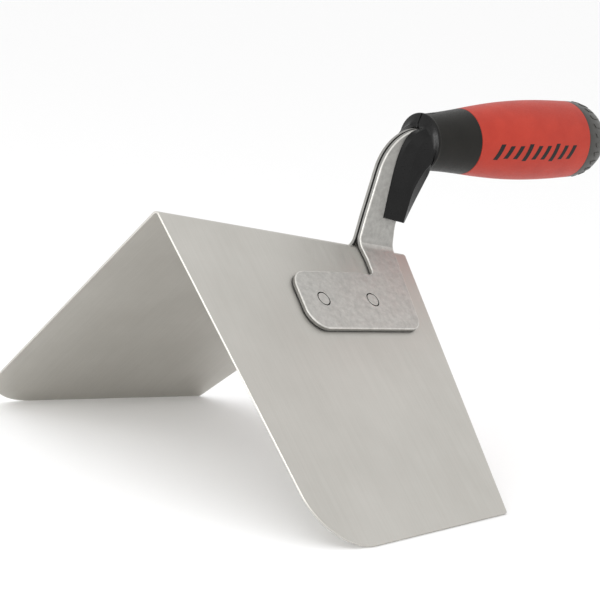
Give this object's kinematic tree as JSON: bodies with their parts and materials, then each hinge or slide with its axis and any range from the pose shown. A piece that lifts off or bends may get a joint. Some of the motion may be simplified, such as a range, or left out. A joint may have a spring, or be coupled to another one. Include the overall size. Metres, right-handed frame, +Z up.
{
  "type": "corner trowel",
  "caption": "Hand trowel for a plaster corner: a bent V-shaped sheet blade under a two-plate shank with a finger guard and a barrel grip.",
  "frame": {"origin": "centre of the footprint, on the plane the two wings stand on", "axes": "+X from the blade's nose back along the handle, parallel to the handle; +Y to the left when looking along +X; +Z up from the floor"},
  "size_m": [0.2697, 0.2476, 0.167],
  "materials": {
    "blade_steel": "fine brushed, satin, faintly warm",
    "shank_steel": "tumbled satin with bright rounded edges",
    "rivet_steel": "ground flush",
    "guard_rubber": "moulded, semi-matte",
    "core_plastic": "moulded, hidden",
    "pin_steel": "plain, hidden",
    "collar_rubber": "moulded, matte",
    "grip_rubber": "soft touch, matte",
    "cap_plastic": "moulded, fine texture"
  },
  "bodies": {
    "root": {"blade": "blade_steel", "left_shank_plate": "shank_steel", "right_shank_plate": "shank_steel", "left_front_rivet": "rivet_steel", "left_rear_rivet": "rivet_steel", "right_front_rivet": "rivet_steel", "right_rear_rivet": "rivet_steel", "left_finger_guard": "guard_rubber", "right_finger_guard": "guard_rubber", "handle_core": "core_plastic", "front_tang_pin": "pin_steel", "rear_tang_pin": "pin_steel", "collar": "collar_rubber", "grip_sleeve": "grip_rubber", "end_cap": "cap_plastic"}
  },
  "joints": []
}
